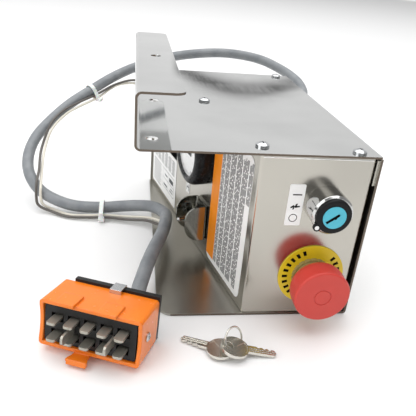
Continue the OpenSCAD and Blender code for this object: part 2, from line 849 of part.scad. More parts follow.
function unit(v) = v / norm(v);
function heading(p, i) = unit(p[min(i + 1, len(p) - 1)] - p[max(i - 1, 0)]);
function square_to(v, t) = unit(v - (v * t) * t);
function normals(p, i, v) = i == len(p) ? []
    : let(n = square_to(v, heading(p, i))) concat([n], normals(p, i + 1, n));

// Tube swept along a route, one ring of points at each point of it
module cord(route, d, sides) {
    n = normals(route, 0, [0, 0, 1]);
    rings = len(route);
    points = [for (i = [0:rings - 1], k = [0:sides - 1])
        let(t = heading(route, i), b = cross(t, n[i]), a = 360 * k / sides)
        route[i] + d / 2 * (cos(a) * n[i] + sin(a) * b)];
    skin = [for (i = [0:rings - 2], k = [0:sides - 1])
        let(j = (k + 1) % sides, a = i * sides, b = a + sides)
        each [[a + k, b + k, a + j], [a + j, b + k, b + j]]];
    ends = [[for (k = [0:sides - 1]) k],
        [for (k = [sides - 1:-1:0]) (rings - 1) * sides + k]];
    polyhedron(points, concat(skin, ends));
}

module main_cable() {
    color("slategray") cord(CABLE, cable_d, 12);
}

module light_wire() {
    color("beige") cord(LIGHT_WIRE, wire_d, 8);
}

module dark_wire() {
    color("#333333") cord(DARK_WIRE, wire_d, 8);
}

// Cable ties: a band round the cable and both wires, with its head
TIES = [16, 25];      // points of the cable's route that carry a tie
LOW_TIE = [[-109, 27.2, 3.8], [-109, 23.2, 3.8]];   // the wires in the low tie
tie_w = 4;
module tie_band(i, light, dark) {
    t = heading(CABLE, i);
    x = square_to([0, 0, 1], t);
    y = cross(t, x);
    at = function(p) [(p - CABLE[i]) * x, (p - CABLE[i]) * y];
    m = [[x[0], y[0], t[0], CABLE[i][0]],
         [x[1], y[1], t[1], CABLE[i][1]],
         [x[2], y[2], t[2], CABLE[i][2]]];
    multmatrix(m) translate([0, 0, -tie_w / 2]) {
        difference() {
            linear_extrude(tie_w) hull() {
                circle(cable_d / 2 + 1.6, $fn = 32);
                for (p = [light, dark]) translate(at(p)) circle(wire_d / 2 + 1.7, $fn = 32);
            }
            translate([0, 0, -over]) linear_extrude(tie_w + 2 * over) hull() {
                circle(cable_d / 2 + 0.5, $fn = 32);
                for (p = [light, dark]) translate(at(p)) circle(wire_d / 2 + 0.6, $fn = 32);
            }
        }
    }
}

module cable_ties() {
    color("white") {
        tie_band(TIES[0], LIGHT_WIRE[6], DARK_WIRE[6]);
        tie_band(TIES[1], LOW_TIE[0], LOW_TIE[1]);
    }
}

// Plug: it lies on its latch tab and the rear edge of its shell
plug_corner = [-138, -151, 4.95];
plug_turn = -22;
plug_tilt = -9;
module in_plug() {
    translate(plug_corner) rotate([0, 0, plug_turn]) rotate([plug_tilt, 0, 0])
        children();
}

core_front = 1.2;
core_back = 24;
core_gap = 0.1;
core_step = 7;        // the core's front part is slimmer than the rest
core_slim = 0.8;
shell_r = 2.4;        // round edges of the shell, from front to rear
scoop_r = 55;         // the side walls' front edges are hollowed this round
scoop_d = 1.3;
KEYING = [11, 39];    // places of the two keying tongues on the top edge
tongue_w = 13;
tongue_len = 14;
tongue_t = 3.5;
tongue_out = 2.5;
latch_x = 30;         // middle of the latch under the shell
latch_w = 14;
latch_out = 8;
latch_t = 1.6;
latch_lip = 2.2;

// Frame of a section across the plug, drawn in x and z, from y0 on
module plug_section(y0, depth) {
    translate([0, y0 + depth, 0]) rotate([90, 0, 0]) linear_extrude(depth)
        children();
}

module latch_plan() {
    w = latch_w / 2;
    polygon([[-w, -latch_out], [w, -latch_out], [w - 0.4, 2.5 - latch_out],
             [w - 1.6, 5 - latch_out], [w - 2, 10], [2 - w, 10],
             [1.6 - w, 5 - latch_out], [0.4 - w, 2.5 - latch_out]]);
}

module plug_shell() {
    w = plug_wall;
    color("darkorange") in_plug() {
        difference() {
            plug_section(0, plug_d) round_rect(plug_w, plug_h, shell_r);
            translate([w, -over, w])
                cube([plug_w - 2 * w, core_back + over, plug_h - 2 * w]);
            translate([-over, scoop_d - scoop_r, plug_h / 2]) rotate([0, 90, 0])
                cylinder(r = scoop_r, h = plug_w + 2 * over, $fn = 180);
            translate([plug_w - over - w, 11.5, plug_h / 2]) rotate([0, 90, 0])
                cylinder(r = 1.6, h = w + 2 * over);
            translate([core_in, core_back - over, core_in])
                cube([plug_w - 2 * core_in, plug_d - core_back + 2 * over, plug_h - 2 * core_in]);
        }
        for (x = KEYING) translate([x, -tongue_out, plug_h - 2]) difference() {
            cube([tongue_w, tongue_len, tongue_t]);
            translate([-over, -over, -over])
                cube([tongue_w + 2 * over, tongue_out + over - eps, 1.3 + over]);
        }
        translate([latch_x, 0, -latch_t]) linear_extrude(latch_t + eps) latch_plan();
        translate([latch_x - latch_w / 2 + 0.4, -latch_out, -latch_t - latch_lip])
            cube([latch_w - 0.8, 2.5, latch_lip + eps]);
    }
}

core_in = plug_wall + core_gap;
COLUMNS = [for (i = [-2:2]) plug_w / 2 + i * blade_pitch];
ROWS = [9.5, plug_h - 11];
LONG_BLADES = [23, 50.5];
module plug_core() {
    slim = core_in + core_slim;
    color("#1c1c1c") in_plug() difference() {
        union() {
            plug_section(core_front, core_step) translate([slim, slim])
                round_rect(plug_w - 2 * slim, plug_h - 2 * slim, 1);
            translate([core_in, core_step, core_in])
                cube([plug_w - 2 * core_in, core_back - core_step, plug_h - 2 * core_in]);
        }
        for (x = COLUMNS, z = ROWS)
            translate([x - blade_w / 2 - 1, core_front - over, z - 3])
                cube([blade_w + 2, 6 + over, 6]);
    }
}

// Blades stand out of the pockets; two longer ones stand on edge between rows
blade_out = 8;
long_out = 14;
blade_round = 1.9;    // round corners of the blades' tips
module blade(w, len, t) {
    linear_extrude(t) round_rect(w, len, blade_round);
}

module plug_blades() {
    long_w = 6;
    color("silver") in_plug() {
        for (x = COLUMNS, z = ROWS)
            translate([x - blade_w / 2, -blade_out, z - blade_t / 2])
                blade(blade_w, blade_out + core_front + 6 - gap, blade_t);
        for (x = LONG_BLADES)
            translate([x - blade_t / 2, -long_out, plug_h / 2 - 3.6 + long_w])
                rotate([0, 90, 0])
                    blade(long_w, long_out + core_front - eps, blade_t);
    }
}

cover_t = 4;
cover_x0 = 8;
entry_x = 44;
entry_z = 17;
boss_len = 8;
module plug_cover() {
    y0 = plug_d;
    color("#1a1a1a") in_plug() difference() {
        union() {
            translate([cover_x0, y0, 2]) cube([plug_w - cover_x0, cover_t, plug_h]);
            translate([core_in + gap, core_back + gap, core_in + gap])
                cube([plug_w - 2 * core_in - 2 * gap, y0 - core_back - gap + eps,
                      plug_h - 2 * core_in - 2 * gap]);
            translate([entry_x, y0, entry_z]) rotate([-90, 0, 0])
                cylinder(r = cable_d / 2 + 2, h = cover_t + boss_len);
        }
        translate([entry_x, y0 + cover_t, entry_z]) rotate([-90, 0, 0])
            cylinder(r = cable_d / 2 + 0.15, h = boss_len + over);
        for (s = [-0.5, 0.5]) translate([entry_x + s * wire_spread, y0 + 2, entry_z - 10])
            rotate([-90, 0, 0]) cylinder(r = wire_d / 2 + 0.3, h = 20);
    }
}

module plug_clip() {
    x0 = 35;
    w = 8;
    z1 = plug_h + 2;
    color("lightgray") in_plug() {
        translate([x0, plug_d - 5, plug_h]) cube([w, 5, z1 + 1 - plug_h]);
        translate([x0, plug_d - eps, z1]) cube([w, cover_t + 1, 1]);
        translate([x0, plug_d + cover_t, z1 - 8]) cube([w, 1, 9]);
    }
}

module plug_screws() {
    color("silver") in_plug() translate([plug_w, 11.5, plug_h / 2])
        rotate([0, 90, 0]) pan_screw(1.5, 3, 1.8, plug_wall);
}

// Keys: the lower one lies on the ring, the upper one on the lower
ring_at = [-17, -160.7];
hole_r = 3.4;
bow_off = 4.5;        // from the hole to the middle of the bow
blade_half = 3;
groove_w = 0.9;
groove_d = 0.45;
fan_d = 0.2;          // depth of the fan pressed into each face of the bow
// Cuts of the blade: distance from the tip and height of the edge
BITTING = [[0, 0.4], [1.2, 1.9], [3, 1.9], [3.8, 1.1], [4.6, 1.1], [5.6, 2.3],
           [6.8, 2.3], [7.6, 1.5], [8.4, 1.5], [9.4, 2.6], [10.6, 2.6],
           [11.6, 1.9], [12.4, 1.9], [13.5, 3]];
module bow_fan(z) {
    translate([0, 0, z]) intersection() {
        translate([bow_off, 0, 0]) cylinder(r = bow_r - 0.9, h = 1);
        linear_extrude(1) polygon([[bow_off + 1.5, -0.8], [bow_off + bow_r, -7],
            [bow_off + bow_r, 7], [bow_off + 1.5, 0.8]]);
    }
}

module key_blank(t) {
    rim = bow_off + bow_r;
    difference() {
        union() {
            translate([bow_off, 0, 0]) cylinder(r = bow_r, h = t);
            linear_extrude(t) polygon(concat(
                [[rim - 2, -blade_half], [key_len - 1.5, -blade_half], [key_len, -1.4]],
                [for (b = BITTING) [key_len - b[0], b[1]]],
                [[rim - 2, blade_half]]));
        }
        translate([0, 0, -over]) cylinder(r = hole_r, h = t + 2 * over, $fn = 32);
        for (y = [-2, -0.2])
            translate([rim + 0.4, y, t - groove_d]) cube([key_len - rim, groove_w, 1]);
        bow_fan(t - fan_d);
        bow_fan(fan_d - 1);
    }
}

// A key whose tip touches the floor and whose hole stands at height z
module floor_key(turn, z) {
    translate([ring_at[0], ring_at[1], z]) rotate([0, 0, turn])
        rotate([0, asin((z - 0.05) / key_len), 0])
            key_blank(key_t);
}

rear_key_z = 2.4;
rear_key_turn = 153;
front_key_z = 5.95;
front_key_turn = -3.3;
module rear_key() {
    color("silver") floor_key(rear_key_turn, rear_key_z);
}

module front_key() {
    color("silver") floor_key(front_key_turn, front_key_z);
}

ring_lean = 25;
ring_turn = 41;
module key_ring() {
    low = ring_r * cos(ring_lean) + ring_wire_r + 0.05;
    color("silver") translate([ring_at[0], ring_at[1], 0])
        rotate([0, 0, ring_turn]) translate([7.35, 1.3, low])
            rotate([90 - ring_lean, 0, 0]) rotate_extrude($fn = 48)
                translate([ring_r, 0]) circle(ring_wire_r, $fn = 16);
}

mounting_bracket();
lower_housing();
control_panel();
bracket_screws();
clinch_nuts();
housing_rivets();
instruction_label();
info_label();
icon_label();
key_legend();
stop_disc();
stop_collar();
stop_cap();
stop_nut();
stop_contacts();
key_bezel();
key_rotor();
lock_insert();
key_nut();
key_contacts();
meter_housing();
meter_dial();
meter_lens();
meter_clamp();
meter_nuts();
toggle_guard();
toggle_body();
toggle_nut();
toggle_lever();
gland_elbow();
gland_dome_nut();
gland_locknut();
wire_grommet();
main_cable();
light_wire();
dark_wire();
cable_ties();
plug_shell();
plug_core();
plug_blades();
plug_cover();
plug_clip();
plug_screws();
rear_key();
front_key();
key_ring();
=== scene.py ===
import math
import random

import bpy
import numpy as np
from mathutils import Matrix, Vector


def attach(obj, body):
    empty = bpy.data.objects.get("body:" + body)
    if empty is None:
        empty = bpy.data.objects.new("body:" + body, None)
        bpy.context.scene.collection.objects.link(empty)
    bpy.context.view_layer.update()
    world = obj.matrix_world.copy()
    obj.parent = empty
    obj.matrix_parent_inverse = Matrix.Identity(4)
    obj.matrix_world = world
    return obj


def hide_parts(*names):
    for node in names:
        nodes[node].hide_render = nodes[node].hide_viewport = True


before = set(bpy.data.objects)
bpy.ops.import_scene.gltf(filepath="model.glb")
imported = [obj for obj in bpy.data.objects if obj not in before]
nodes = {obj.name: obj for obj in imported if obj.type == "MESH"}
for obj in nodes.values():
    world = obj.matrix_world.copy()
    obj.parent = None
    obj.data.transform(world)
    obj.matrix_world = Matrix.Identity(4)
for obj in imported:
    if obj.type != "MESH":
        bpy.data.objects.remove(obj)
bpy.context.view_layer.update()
bpy.context.scene.view_settings.view_transform = "Standard"


# Camera: left of the front and above the cover, looking down over the box. Its
# place and angles come from the edges of the cover plate and of the base.
camera_place = (-0.0806, -0.409, 0.233)
camera_angles = (26.38, -9.59, 5.28)
camera_lens = 43.54


def turn_rows(pitch, yaw, roll):
    """Right, down and forward of the camera, for its three angles in degrees."""
    p, y, r = (math.radians(a) for a in (pitch, yaw, roll))
    level = np.array([[math.cos(y), math.sin(y), 0], [0, 0, -1],
                      [-math.sin(y), math.cos(y), 0]])
    tilted = np.array([[1, 0, 0], [0, math.cos(p), -math.sin(p)],
                       [0, math.sin(p), math.cos(p)]])
    rolled = np.array([[math.cos(r), -math.sin(r), 0],
                       [math.sin(r), math.cos(r), 0], [0, 0, 1]])
    return rolled @ tilted @ level


right, down, forward = turn_rows(*camera_angles)
camera = bpy.data.objects.new("photo_view", bpy.data.cameras.new("photo_view"))
camera.data.sensor_width = 36
camera.data.lens = camera_lens
camera.data.clip_start = 0.01
camera.matrix_world = (Matrix.Translation(camera_place)
                       @ Matrix((right, -down, -forward)).transposed().to_4x4())
bpy.context.scene.collection.objects.link(camera)
bpy.context.scene.camera = camera


# Main cable: grey flexible cable, 11 mm thick, from the gland on the right wall
# round the rear of the box to the plug. Its sheath is satin PVC with a faint
# grain, and it lies loose.
def add(finish, kind, inputs, out=0, **settings):
    """One more node in a finish: its inputs set or linked, its output returned."""
    n = finish.node_tree.nodes.new("ShaderNode" + kind)
    for key, value in settings.items():
        setattr(n, key, value)
    for key, value in inputs.items():
        if isinstance(value, bpy.types.NodeSocket):
            finish.node_tree.links.new(value, n.inputs[key])
        else:
            n.inputs[key].default_value = value
    return n.outputs[out]


def feed(finish, socket, output):
    """Links an output to a socket of the finish's shader."""
    shader = finish.node_tree.nodes["Principled BSDF"]
    finish.node_tree.links.new(output, shader.inputs[socket])


def new_finish(name, colour, rough, metal=0.0, **sockets):
    """A finish with its shader's plain numbers and colours set."""
    finish = bpy.data.materials.new(name)
    finish.use_nodes = True
    shader = finish.node_tree.nodes["Principled BSDF"]
    shader.inputs["Base Color"].default_value = (*colour, 1)
    shader.inputs["Roughness"].default_value = rough
    shader.inputs["Metallic"].default_value = metal
    for key, value in sockets.items():
        shader.inputs[key.replace("_", " ")].default_value = value
    return finish


def place(finish, stretch=(1, 1, 1)):
    """The point on the piece in metres, times the three numbers of stretch."""
    at = add(finish, "TexCoord", {}, out="Object")
    return add(finish, "VectorMath", {0: at, 1: stretch}, operation="MULTIPLY")


def specks(finish, scale, stretch=(1, 1, 1), detail=3.0, rough=0.5):
    """Fine noise at so many cells a metre, drawn out by stretch."""
    return add(finish, "TexNoise", {"Vector": place(finish, stretch), "Scale": scale,
                                    "Detail": detail, "Roughness": rough})


def ramp(finish, value, low, high, to_low=0.0, to_high=1.0):
    """A value from low to high mapped to to_low to to_high."""
    return add(finish, "MapRange", {"Value": value, "From Min": low, "From Max": high,
                                    "To Min": to_low, "To Max": to_high})


def spread(finish, cells, low=0.0, high=1.0, quiet=0.3, loud=0.7):
    """Fine noise whose usual span, quiet to loud, is mapped to low to high."""
    return ramp(finish, specks(finish, cells), quiet, loud, low, high)


def mix(finish, share, first, second):
    """Two colours mixed by a share from 0 to 1."""
    return add(finish, "MixRGB", {"Fac": share, "Color1": first, "Color2": second})


def grained(finish, height, depth, strength=1.0, edge=0.0):
    """Lets a height between 0 and 1, depth metres deep, and a soft edge shape the light."""
    inputs = {"Height": height, "Strength": strength, "Distance": depth}
    if edge:
        inputs["Normal"] = add(finish, "Bevel", {"Radius": edge}, samples=4)
    feed(finish, "Normal", add(finish, "Bump", inputs))


def edge_share(finish, radius, gain=6.0):
    """0 on the open face, towards 1 within the radius of an edge."""
    soft = add(finish, "Bevel", {"Radius": radius}, samples=4)
    flat = add(finish, "NewGeometry", {}, out="Normal")
    same = add(finish, "VectorMath", {0: soft, 1: flat}, out="Value",
               operation="DOT_PRODUCT")
    return add(finish, "MapRange", {"Value": same, "From Min": 1.0,
                                    "From Max": 1.0 - 1.0 / gain})


def moulded(name, colour, rough, grain=1500.0, depth=0.00004, vary=0.06, edge=0.0003,
            **sockets):
    """Moulded plastic: faint mottling, a fine grain, and edges that catch the light, painted
    lighter in colour as wear and as a painted highlight.
    """
    finish = new_finish(name, colour, rough, **sockets)
    mottle = spread(finish, 60.0)
    darker = tuple(c * (1 - vary) for c in colour) + (1,)
    lighter = tuple(min(1, c * (1 + vary)) for c in colour) + (1,)
    wear_and_edge_highlight = tuple(min(1, c * (1 + 2.5 * vary) + 0.01) for c in colour) + (1,)
    # Painted highlight and wear: the colour turns lighter within the edge radius of every
    # edge.
    feed(finish, "Base Color", mix(finish, edge_share(finish, edge),
                                   mix(finish, mottle, darker, lighter), wear_and_edge_highlight))
    feed(finish, "Roughness", spread(finish, 220.0, max(0.02, rough - 0.06),
                                     min(1, rough + 0.08)))
    grained(finish, specks(finish, grain), depth, 0.5, edge)
    return finish


def smooth_line(route, per=8):
    """Points in metres on a smooth line through a route given in millimetres."""
    p = np.array(route, float) / 1000
    p = np.vstack([2 * p[0] - p[1], p, 2 * p[-1] - p[-2]])
    line = []
    for i in range(1, len(p) - 2):
        for k in range(per):
            u = k / per
            line.append(0.5 * (2 * p[i] + (p[i + 1] - p[i - 1]) * u
                               + (2 * p[i - 1] - 5 * p[i] + 4 * p[i + 1] - p[i + 2]) * u ** 2
                               + (3 * p[i] - 3 * p[i + 1] + p[i + 2] - p[i - 1]) * u ** 3))
    return line + [p[-2]]


def sheathed(name, route, thickness, finish):
    """A round cord along a route, as a curve of one spline."""
    data = bpy.data.curves.new(name, "CURVE")
    data.dimensions = "3D"
    data.bevel_depth = thickness / 2
    data.bevel_resolution = 6
    data.use_fill_caps = True
    line = smooth_line(route)
    spline = data.splines.new("POLY")
    spline.points.add(len(line) - 1)
    for point, at in zip(spline.points, line):
        point.co = (*at, 1)
    spline.use_smooth = True
    data.materials.append(finish)
    piece = bpy.data.objects.new(name, data)
    bpy.context.scene.collection.objects.link(piece)
    return piece


cable_route = [
    (98, 76, 98), (98, 92, 98), (101, 112, 99), (107, 134, 101), (113, 156, 104),
    (112, 176, 109), (105, 194, 114), (93, 208, 119), (77, 219, 124), (56, 227, 127),
    (29, 231, 128), (0, 230, 126), (-30, 224, 122), (-58, 214, 116), (-83, 201, 109),
    (-106, 186, 100), (-128, 168, 89), (-149, 148, 78), (-166, 127, 66),
    (-179, 105, 54), (-184, 84, 42), (-181, 65, 30), (-170, 51, 19), (-154, 43, 12),
    (-134, 38, 8), (-109, 36, 8), (-92, 35, 10), (-77, 31, 13), (-63, 24, 16),
    (-54, 12, 18), (-50, -4, 21), (-52, -24, 23), (-56, -44, 24), (-62, -64, 24),
    (-68, -84, 22), (-73, -102, 18), (-77, -118, 15), (-81, -127, 16)]
cable_thickness = 0.011
cable_dark = (0.19, 0.205, 0.22, 1)
cable_pale = (0.26, 0.275, 0.29, 1)
cable_grey = new_finish("cable_grey", (0.22, 0.235, 0.25), 0.38)
feed(cable_grey, "Base Color", mix(cable_grey, spread(cable_grey, 90.0), cable_dark,
                                   cable_pale))
feed(cable_grey, "Roughness", spread(cable_grey, 400.0, 0.36, 0.5))
grained(cable_grey, specks(cable_grey, 1800.0), 0.0001, 0.4)
cable = sheathed("cable_sheath", cable_route, cable_thickness, cable_grey)
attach(cable, "control_box")
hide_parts("main_cable")


# Thin wires: two single cores in glossy sheaths, one cream and one nearly black,
# that leave the rear wall through a grommet and run beside the cable into the
# plug.
light_route = [
    (-38, 126, 86), (-38, 136, 86), (-46, 150, 88), (-58, 165, 92), (-77, 180, 96),
    (-100, 185, 92), (-121, 167, 81), (-139, 146, 76), (-152, 131, 71), (-164, 111, 61),
    (-170, 94, 44), (-169, 64, 31), (-167, 44, 25), (-167, 40, 16), (-165, 40, 8),
    (-156, 40, 3), (-140, 31, 2), (-122, 28, 3), (-105, 27, 4), (-86, 23, 5),
    (-67, 16, 8), (-56, 5, 11), (-50, -8, 13), (-51, -24, 15), (-61, -64, 16),
    (-67, -84, 14), (-75, -115, 7), (-78, -125, 6), (-81, -132, 7)]
dark_route = [
    (-43, 126, 86), (-43, 136, 86), (-49, 150, 91), (-61, 165, 96), (-79, 180, 100),
    (-101, 181, 94), (-122, 166, 85), (-140, 147, 80), (-154, 132, 75), (-165, 114, 66),
    (-173, 94, 45), (-171, 62, 34), (-171, 46, 28), (-171, 40, 17), (-169, 38, 8),
    (-158, 36, 3), (-141, 27, 2), (-122, 24, 3), (-105, 23, 4), (-86, 19, 4),
    (-68, 12, 7), (-58, 2, 9), (-54, -8, 14), (-55, -25, 16), (-65, -65, 17),
    (-71, -85, 15), (-80, -114, 8), (-83, -123, 6), (-86, -131, 7)]
wire_thickness = 0.0026
wire_cream = moulded("wire_cream", (0.80, 0.76, 0.66), 0.35, edge=0.0001)
wire_dark = moulded("wire_dark", (0.11, 0.10, 0.09), 0.35, edge=0.0001)
for name, route, finish, slot, node in (
        ("cream_wire", light_route, wire_cream, "wire_cream", "light_wire"),
        ("black_wire", dark_route, wire_dark, "wire_dark", "dark_wire")):
    wire = sheathed(name, route, wire_thickness, finish)
    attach(wire, "control_box")
    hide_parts(node)


# Cable ties: white nylon, one low by the floor and one behind, drawn tight round
# the cable and both wires, each with its square head and cut tail.
def wear(node, finish):
    """Puts a finish on a CAD node."""
    data = nodes[node].data
    data.materials.clear()
    data.materials.append(finish)


tie_nylon = moulded("tie_nylon", (0.86, 0.86, 0.84), 0.35, Subsurface_Weight=0.25,
                    Subsurface_Scale=0.004)
wear("cable_ties", tie_nylon)


def block(name, middle, axes, halves, finish, round_by=0.0004):
    """A block with rounded edges, set by its middle, axes and half sizes in metres."""
    x, y, z = axes
    points = [middle + x * halves[0] * i + y * halves[1] * j + z * halves[2] * k
              for i in (-1, 1) for j in (-1, 1) for k in (-1, 1)]
    faces = [(0, 1, 3, 2), (4, 6, 7, 5), (0, 4, 5, 1), (2, 3, 7, 6), (0, 2, 6, 4),
             (1, 5, 7, 3)]
    data = bpy.data.meshes.new(name)
    data.from_pydata([tuple(p) for p in points], [], faces)
    data.materials.append(finish)
    piece = bpy.data.objects.new(name, data)
    bpy.context.scene.collection.objects.link(piece)
    rounding = piece.modifiers.new("rounded", "BEVEL")
    rounding.width, rounding.segments = round_by, 3
    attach(piece, "control_box")


head_reach = 5.6
head_halves = (0.0026, 0.0019, 0.0024)
tail_halves = (0.0018, 0.0005, 0.0040)
tail_round = 0.0002
off_floor = 3.2
tie_places = [(16, (-121, 167, 81), (-122, 166, 85), 5.0),
              (25, (-109, 27.2, 3.8), (-109, 23.2, 3.8), -5.0)]
for k, (at, light_at, dark_at, tail_reach) in enumerate(tie_places):
    middle = Vector(cable_route[at])
    forward = (Vector(cable_route[at + 1]) - Vector(cable_route[at - 1])).normalized()
    wires = (Vector(light_at) + Vector(dark_at)) / 2
    outward = wires - middle
    outward = (outward - forward * outward.dot(forward)).normalized()
    crosswise = forward.cross(outward)
    head = wires + outward * head_reach
    head.z = max(head.z, off_floor)
    block("tie_head_%d" % k, head / 1000, (forward, outward, crosswise), head_halves,
          tie_nylon)
    tail = head + crosswise * tail_reach
    tail.z = max(tail.z, off_floor)
    block("tie_tail_%d" % k, tail / 1000, (forward, outward, crosswise), tail_halves,
          tie_nylon, tail_round)


# Housing: base plate, right wall and rear wall in one folded sheet of stainless
# steel, 1.5 mm thick, satin outside, with a brown tint where it was cut, and
# rivets of zinc plated steel.
def cut_edge(finish, towards, beyond, limit):
    """1 where the sheet faces one way and lies past a plane, as at a cut edge."""
    facing = add(finish, "TexCoord", {}, out="Normal")
    at = add(finish, "TexCoord", {}, out="Object")
    turned_so = add(finish, "VectorMath", {0: facing, 1: towards}, out="Value",
                    operation="DOT_PRODUCT")
    past = add(finish, "VectorMath", {0: at, 1: beyond}, out="Value",
               operation="DOT_PRODUCT")
    square_on = add(finish, "Math", {0: turned_so, 1: 0.9}, operation="GREATER_THAN")
    outside = add(finish, "Math", {0: past, 1: limit}, operation="GREATER_THAN")
    return add(finish, "Math", {0: square_on, 1: outside}, operation="MULTIPLY")


def satin_sheet(name, colour, rough, stretch, tone=0.05, grain=0.000005, edge=0.0004,
                cuts=()):
    """Satin metal, its grain drawn out along the axis where stretch is smallest."""
    finish = new_finish(name, colour, rough, 1.0)
    lines = specks(finish, 900.0, stretch, 4.0, 0.6)
    clouds = specks(finish, 14.0, detail=2.0)
    smears = specks(finish, 30.0, detail=2.0)
    low = tuple(c * (1 - tone) for c in colour) + (1,)
    high = tuple(min(1, c * (1 + tone)) for c in colour) + (1,)
    tint = mix(finish, ramp(finish, clouds, 0.35, 0.65), low, high)
    # Painted highlight: the colour turns lighter within the edge radius of every edge.
    bright = tuple(min(1, c * 1.15) for c in colour) + (1,)
    tint = mix(finish, edge_share(finish, edge), tint, bright)
    burr = (0.13, 0.105, 0.085, 1)
    for towards, beyond, limit in cuts:
        tint = mix(finish, cut_edge(finish, towards, beyond, limit), tint, burr)
    feed(finish, "Base Color", tint)
    both = add(finish, "Math", {0: lines, 1: smears}, operation="ADD")
    feed(finish, "Roughness", ramp(finish, both, 0.7, 1.3, rough - 0.02, rough + 0.03))
    grained(finish, lines, grain, 0.3, edge)
    return finish


housing_steel = satin_sheet(
    "housing_steel", (0.46, 0.445, 0.40), 0.3, (1.0, 0.03, 1.0),
    cuts=[((0, -1, 0), (0, -1, 0), 0.1198), ((-1, 0, 0), (-1, 0, 0), 0.0605)])
wear("lower_housing", housing_steel)
zinc = satin_sheet("bright_zinc", (0.56, 0.57, 0.58), 0.2, (1, 1, 1))
wear("housing_rivets", zinc)


# Gland and grommet: an elbow gland of black nylon, held in the right wall by a
# zinc plated locknut, and the rubber grommet of the thin wires in the rear wall.
black_nylon = moulded("black_nylon", (0.022, 0.022, 0.023), 0.42, edge=0.0005)
grommet_rubber = moulded("grommet_rubber", (0.02, 0.02, 0.02), 0.7, grain=900.0,
                         depth=0.0001)
wear("gland_elbow", black_nylon)
wear("gland_dome_nut", black_nylon)
wear("wire_grommet", grommet_rubber)
wear("gland_locknut", zinc)


# Control panel: front and side face of the controls in one folded sheet, a little
# warmer and duller than the cover, with its grain upright. A thin strip of near
# white metal along the top of its front face is a painted highlight of the top fold
# under the cover.
panel_steel = satin_sheet("panel_steel", (0.455, 0.435, 0.39), 0.19, (1.0, 1.0, 0.05))
wear("control_panel", panel_steel)
# Painted highlight: a thin strip of near white glossy metal along the top of the front face.
fold_highlight_steel = satin_sheet("fold_highlight_steel", (0.9, 0.9, 0.88), 0.12, (0.05, 1, 1))
front_face = -0.119
fold_highlight_middle = Vector((0.0382, front_face, 0.1236))
fold_highlight_halves = (0.0372, 0.0004, 0.00045)
box_axes = (Vector((1, 0, 0)), Vector((0, 1, 0)), Vector((0, 0, 1)))
block("top_fold_highlight", fold_highlight_middle, box_axes, fold_highlight_halves, fold_highlight_steel)


# Cover bracket: top plate, web and return flange in one folded sheet of stainless
# steel, satin with its grain along the box, held by four pan head screws with
# cross recesses in clinch nuts.
cover_steel = satin_sheet(
    "cover_steel", (0.64, 0.645, 0.64), 0.065, (1.0, 0.03, 1.0), tone=0.07,
    cuts=[((0, -1, 0), (0, -1, 0), 0.1198), ((0, 1, 0), (0, 1, 0), 0.1198),
          ((1, 0, 0), (1, 0, 0), 0.0795), ((1, 0, 0), (0, 0, 1), 0.1598),
          ((0.92, -0.38, 0), (0, 0, 1), 0.1598), ((0.38, -0.92, 0), (0, 0, 1), 0.1598)])
wear("mounting_bracket", cover_steel)
wear("bracket_screws", zinc)
wear("clinch_nuts", zinc)


def add_mesh(name, points, faces, finish, body="control_box", smooth=None):
    """A piece from points and faces, riding on its body, smooth below an angle."""
    data = bpy.data.meshes.new(name)
    data.from_pydata([tuple(p) for p in points], [], faces)
    data.materials.append(finish)
    if smooth:
        data.polygons.foreach_set("use_smooth", [True] * len(data.polygons))
        data.set_sharp_from_angle(angle=math.radians(smooth))
    piece = bpy.data.objects.new(name, data)
    bpy.context.scene.collection.objects.link(piece)
    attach(piece, body)
    return piece


# Painted shade: a flat dark cross just inside the cross recess of each of the four screw
# heads.
recess_painted_shade = new_finish("recess_painted_shade", (0.03, 0.03, 0.03), 0.5, 0.6)
feed(recess_painted_shade, "Roughness", spread(recess_painted_shade, 900.0, 0.4, 0.6))
screw_places = [(2.6, -106.0), (67.0, -112.8), (-22.75, 0.51), (67.0, 113.6)]
screw_top = 129.0
arm, half = 2.3, 0.45
cross_outline = [(-arm, -half), (-half, -half), (-half, -arm), (half, -arm),
                 (half, -half), (arm, -half), (arm, half), (half, half), (half, arm),
                 (-half, arm), (-half, half), (-arm, half)]
cross_points, cross_faces = [], []
for x, y in screw_places:
    k = len(cross_points)
    cross_points += [Vector((x + u, y + v, screw_top)) / 1000 for u, v in cross_outline]
    cross_faces.append(tuple(k + i for i in range(len(cross_outline))))
add_mesh("screw_recess_shade", cross_points, cross_faces, recess_painted_shade)


# Labels: white film stuck on the side face and the front, printed with rows of
# grey blocks, an orange stripe, a black header, a small square mark, and the
# three marks of the key switch.
side_tilt = math.radians(13.7)
side_back = Vector((-math.sin(side_tilt), math.cos(side_tilt), 0))
side_out = Vector((-math.cos(side_tilt), -math.sin(side_tilt), 0))
side_corner = Vector((0, front_face, 0))
controls_foot = Vector((0.0473, front_face, 0))
print_height = 0.29


def on_side(s, z, q):
    """Point on the side face: s back along it, z up and q outward, in millimetres."""
    return side_corner + (side_back * s + side_out * q + Vector((0, 0, z))) / 1000


def on_front(x, z, q):
    """Point on the front face, x to the right of the controls' middle."""
    return controls_foot + Vector((x, -q, z)) / 1000


def printed(name, at, blocks, finish, q=print_height):
    """Flat printed blocks (u0, u1, z0, z1) on a face, q millimetres above it."""
    points, faces = [], []
    for u0, u1, z0, z1 in blocks:
        k = len(points)
        points += [at(u0, z0, q), at(u1, z0, q), at(u1, z1, q), at(u0, z1, q)]
        faces.append((k, k + 1, k + 2, k + 3))
    return add_mesh(name, points, faces, finish)


